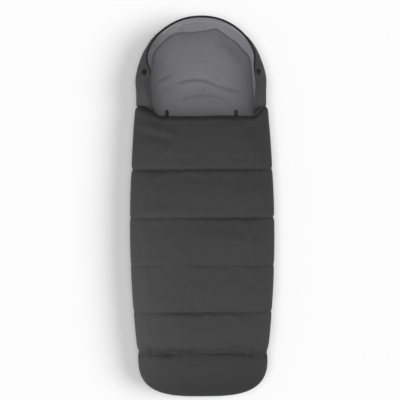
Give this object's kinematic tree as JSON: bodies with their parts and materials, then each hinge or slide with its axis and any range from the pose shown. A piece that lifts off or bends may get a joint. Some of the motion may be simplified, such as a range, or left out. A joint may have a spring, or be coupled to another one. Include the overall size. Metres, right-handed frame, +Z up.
{
  "type": "stroller footmuff",
  "caption": "Padded stroller footmuff with a quilted cover that unzips along both sides and folds down, a closed toe box, a lined back with harness slots and a raised drawcord hood.",
  "frame": {"origin": "on the floor under the middle of the bag's box, with the footmuff lying on its back", "axes": "+Y from the toes to the hood, +Z up out of the cover, +X across"},
  "size_m": [0.3744, 0.9799, 0.112],
  "materials": {
    "outer_fabric": "dark grey woven polyester, matt",
    "padding": "white polyester wadding, hidden inside",
    "lining": "mid grey brushed fleece",
    "trim": "black woven binding tape",
    "zip_plastic": "black nylon zip coil",
    "zip_metal": "black painted die-cast zinc",
    "cord": "black braided polyester cord"
  },
  "bodies": {
    "bag": {"back_shell": "outer_fabric", "back_padding": "padding", "back_lining": "lining", "back_top_shell": "outer_fabric", "back_top_padding": "padding", "toe_shell": "outer_fabric", "toe_padding": "padding", "toe_lining": "lining", "hood_shell": "outer_fabric", "hood_padding": "padding", "hood_lining": "lining", "rim_binding": "trim", "hood_drawcord": "cord", "eyelet_left": "zip_metal", "eyelet_right": "zip_metal", "zip_tape_bag_left": "trim", "zip_tape_bag_right": "trim", "zip_coil_bag_left": "zip_plastic", "zip_coil_bag_right": "zip_plastic", "zip_bottom_stop_left": "zip_metal", "zip_bottom_stop_right": "zip_metal", "shoulder_slot_left": "trim", "shoulder_slot_right": "trim", "hip_slot_left": "trim", "hip_slot_right": "trim", "crotch_slot": "trim"},
    "cover": {"cover_shell": "outer_fabric", "cover_padding": "padding", "cover_lining": "lining", "zip_tape_cover_left": "trim", "zip_tape_cover_right": "trim", "zip_coil_cover_left": "zip_plastic", "zip_coil_cover_right": "zip_plastic"},
    "flap": {"flap_shell": "outer_fabric", "flap_padding": "padding", "flap_lining": "lining", "zip_tape_flap_left": "trim", "zip_tape_flap_right": "trim", "zip_coil_flap_left": "zip_plastic", "zip_coil_flap_right": "zip_plastic", "zip_top_stop_left": "zip_metal", "zip_top_stop_right": "zip_metal"},
    "zip_slider_left": {"zip_slider_left": "zip_metal"},
    "zip_pull_left": {"zip_pull_left": "zip_metal"},
    "zip_slider_right": {"zip_slider_right": "zip_metal"},
    "zip_pull_right": {"zip_pull_right": "zip_metal"}
  },
  "joints": [
    {"name": "cover_open", "type": "hinge", "parent": "bag", "child": "cover", "pos_m": [0, -0.377, 0.107], "axis": [1, 0, 0], "range_deg": [0, 150]},
    {"name": "flap_fold", "type": "hinge", "parent": "cover", "child": "flap", "pos_m": [0, 0.096, 0.107], "axis": [1, 0, 0], "range_deg": [0, 150]},
    {"name": "zip_travel_left", "type": "hinge", "parent": "bag", "child": "zip_slider_left", "pos_m": [2.53917, -0.06, 0.0525], "axis": [0, 0, 1], "range_deg": [0, 12.2]},
    {"name": "pull_swing_left", "type": "hinge", "parent": "zip_slider_left", "child": "zip_pull_left", "pos_m": [-0.16718, 0.23674, 0.0525], "axis": [0, 0, -1], "range_deg": [0, 170]},
    {"name": "zip_travel_right", "type": "hinge", "parent": "bag", "child": "zip_slider_right", "pos_m": [-2.53917, -0.06, 0.0525], "axis": [0, 0, -1], "range_deg": [0, 12.2]},
    {"name": "pull_swing_right", "type": "hinge", "parent": "zip_slider_right", "child": "zip_pull_right", "pos_m": [0.16718, 0.23674, 0.0525], "axis": [0, 0, 1], "range_deg": [0, 170]}
  ]
}
